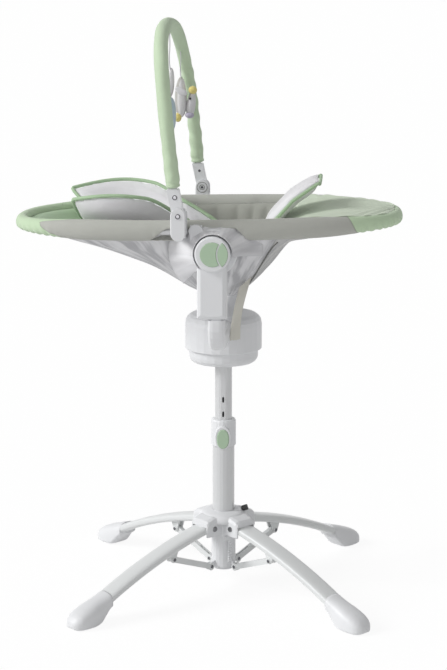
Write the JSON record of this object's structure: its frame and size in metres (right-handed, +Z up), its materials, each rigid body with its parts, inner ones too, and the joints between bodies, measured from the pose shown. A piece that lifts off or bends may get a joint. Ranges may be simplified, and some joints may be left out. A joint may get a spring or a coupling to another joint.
{
  "type": "convertible high chair",
  "caption": "High chair stand in cradle form: padded reclining seat in a ring, toy arch, swivelling yoke, height column and folding legs with struts",
  "frame": {"origin": "on the floor under the middle of the bounding box, soles at Z 0", "axes": "+X from the head end to the foot end of the seat, +Y across the seat to the far side, +Z up"},
  "size_m": [0.8014, 0.6406, 1.2133],
  "materials": {
    "white_plastic": "white moulded plastic, satin",
    "painted_leg": "pale grey powder coat on tube",
    "light_metal": "pale grey coated tube",
    "screw": "dark plated pins",
    "green_plastic": "soft green moulded plastic",
    "black_plastic": "black ribbed knob",
    "mint_cloth": "mint quilted cotton",
    "grey_cloth": "warm grey woven cloth",
    "white_cloth": "white brushed cotton, padded",
    "webbing": "cream woven webbing and ribbon",
    "plush": "short plush, grey and white"
  },
  "bodies": {
    "hub": {"hub_crown": "white_plastic", "leg_pin_1": "screw", "leg_pin_2": "screw", "leg_pin_3": "screw", "leg_pin_4": "screw", "fold_latch": "white_plastic"},
    "plunger": {"lock_plunger": "black_plastic"},
    "column": {"lower_tube": "light_metal", "finned_sleeve": "white_plastic", "tube_end_cap": "white_plastic", "column_bush": "white_plastic", "lock_collar": "white_plastic"},
    "button": {"height_button": "green_plastic"},
    "tongue": {"lock_tongue": "light_metal"},
    "mast": {"upper_tube": "light_metal", "drum_base": "white_plastic", "swivel_bolt": "light_metal"},
    "carrier": {"drum_cap": "white_plastic", "yoke": "white_plastic", "hinge_arm_near": "white_plastic", "hinge_arm_far": "white_plastic", "hinge_cover_near": "green_plastic", "hinge_cover_far": "green_plastic"},
    "release_near": {"tilt_release_near": "green_plastic"},
    "release_far": {"tilt_release_far": "green_plastic"},
    "seat": {"tilt_housing_near": "white_plastic", "tilt_housing_far": "white_plastic", "seat_ring": "light_metal", "rim_cloth": "grey_cloth", "hammock": "white_cloth", "arch_bracket_near": "white_plastic", "arch_bracket_far": "white_plastic", "insert_pad": "white_cloth", "foot_flap": "white_cloth", "foot_cover": "mint_cloth", "harness_strap": "webbing"},
    "arch": {"arch_bar": "light_metal", "arch_sleeve": "mint_cloth", "arch_socket_near": "white_plastic", "arch_socket_far": "white_plastic"},
    "toy_a": {"toy_a_ribbon": "webbing", "toy_a_body": "plush", "toy_a_tail": "plush"},
    "toy_b": {"toy_b_ribbon": "webbing", "toy_b_body": "plush", "toy_b_head": "plush"},
    "leg_assembly_1": {"leg_1": "painted_leg", "foot_1": "white_plastic"},
    "strut_link_1": {"strut_1": "painted_leg"},
    "leg_assembly_2": {"leg_2": "painted_leg", "foot_2": "white_plastic"},
    "strut_link_2": {"strut_2": "painted_leg"},
    "leg_assembly_3": {"leg_3": "painted_leg", "foot_3": "white_plastic"},
    "strut_link_3": {"strut_3": "painted_leg"},
    "leg_assembly_4": {"leg_4": "painted_leg", "foot_4": "white_plastic"},
    "strut_link_4": {"strut_4": "painted_leg"}
  },
  "joints": [
    {"name": "base_fold", "type": "slide", "parent": "hub", "child": "column", "axis": [0, 0, -1], "range_m": [0, 0.136]},
    {"name": "leg_fold_1", "type": "hinge", "parent": "hub", "child": "leg_assembly_1", "pos_m": [0.06478, 0.03686, 0.138], "axis": [-0.7373, 0.6756, 0], "range_deg": [0, 60]},
    {"name": "strut_turn_1", "type": "hinge", "parent": "leg_assembly_1", "child": "strut_link_1", "pos_m": [0.13234, 0.11059, 0.088], "axis": [0.7373, -0.6756, 0], "range_deg": [0, 121]},
    {"name": "leg_fold_2", "type": "hinge", "parent": "hub", "child": "leg_assembly_2", "pos_m": [-0.00586, 0.03378, 0.138], "axis": [-0.6756, -0.7373, 0], "range_deg": [0, 60]},
    {"name": "strut_turn_2", "type": "hinge", "parent": "leg_assembly_2", "child": "strut_link_2", "pos_m": [-0.07959, 0.10134, 0.088], "axis": [0.6756, 0.7373, 0], "range_deg": [0, 121]},
    {"name": "leg_fold_3", "type": "hinge", "parent": "hub", "child": "leg_assembly_3", "pos_m": [-0.00278, -0.03686, 0.138], "axis": [0.7373, -0.6756, 0], "range_deg": [0, 60]},
    {"name": "strut_turn_3", "type": "hinge", "parent": "leg_assembly_3", "child": "strut_link_3", "pos_m": [-0.07034, -0.11059, 0.088], "axis": [-0.7373, 0.6756, 0], "range_deg": [0, 121]},
    {"name": "leg_fold_4", "type": "hinge", "parent": "hub", "child": "leg_assembly_4", "pos_m": [0.06786, -0.03378, 0.138], "axis": [0.6756, 0.7373, 0], "range_deg": [0, 60]},
    {"name": "strut_turn_4", "type": "hinge", "parent": "leg_assembly_4", "child": "strut_link_4", "pos_m": [0.14159, -0.10134, 0.088], "axis": [-0.6756, -0.7373, 0], "range_deg": [0, 121]},
    {"name": "plunger_pull", "type": "slide", "parent": "hub", "child": "plunger", "axis": [0.9502, 0.0415, 0.309], "range_m": [0, 0.006], "stiffness_N_per_m": 500, "springref_m": -0.004},
    {"name": "height_slide", "type": "slide", "parent": "column", "child": "mast", "axis": [0, 0, 1], "range_m": [-0.064, 0.064]},
    {"name": "button_push", "type": "slide", "parent": "column", "child": "button", "axis": [-0.0436, 0.999, 0], "range_m": [0, 0.0026], "stiffness_N_per_m": 500, "springref_m": -0.003},
    {"name": "tongue_draw", "type": "slide", "parent": "column", "child": "tongue", "axis": [0.0436, -0.999, 0], "range_m": [0, 0.0026]},
    {"name": "seat_swivel", "type": "hinge", "parent": "mast", "child": "carrier", "pos_m": [0.031, 0, 0.525], "axis": [0, 0, 1], "range_deg": [-12.5, 17.5]},
    {"name": "seat_tilt", "type": "hinge", "parent": "carrier", "child": "seat", "pos_m": [0.031, 0, 0.765], "axis": [0, 1, 0], "range_deg": [0, 45]},
    {"name": "release_push_near", "type": "slide", "parent": "carrier", "child": "release_near", "axis": [0, 1, 0], "range_m": [0, 0.003], "stiffness_N_per_m": 500, "springref_m": -0.003},
    {"name": "release_push_far", "type": "slide", "parent": "carrier", "child": "release_far", "axis": [0, -1, 0], "range_m": [0, 0.003], "stiffness_N_per_m": 500, "springref_m": -0.003},
    {"name": "arch_turn", "type": "hinge", "parent": "seat", "child": "arch", "pos_m": [-0.036, 0, 0.839], "axis": [0, 1, 0], "range_deg": [-50, 60]},
    {"name": "toy_swing_a", "type": "hinge", "parent": "arch", "child": "toy_a", "pos_m": [-0.08279, 0.024, 1.18443], "axis": [0, 1, 0], "range_deg": [-25, 25]},
    {"name": "toy_swing_b", "type": "hinge", "parent": "arch", "child": "toy_b", "pos_m": [-0.07677, 0.178, 1.13705], "axis": [0, 1, 0], "range_deg": [-25, 25]}
  ],
  "couplings": [
    {"joint": "leg_fold_1", "follows": "base_fold", "rad_per_m": 7.6911},
    {"joint": "strut_turn_1", "follows": "base_fold", "rad_per_m": 15.504},
    {"joint": "leg_fold_2", "follows": "base_fold", "rad_per_m": 7.6911},
    {"joint": "strut_turn_2", "follows": "base_fold", "rad_per_m": 15.504},
    {"joint": "leg_fold_3", "follows": "base_fold", "rad_per_m": 7.6911},
    {"joint": "strut_turn_3", "follows": "base_fold", "rad_per_m": 15.504},
    {"joint": "leg_fold_4", "follows": "base_fold", "rad_per_m": 7.6911},
    {"joint": "strut_turn_4", "follows": "base_fold", "rad_per_m": 15.504},
    {"joint": "tongue_draw", "follows": "button_push", "ratio": 1}
  ]
}
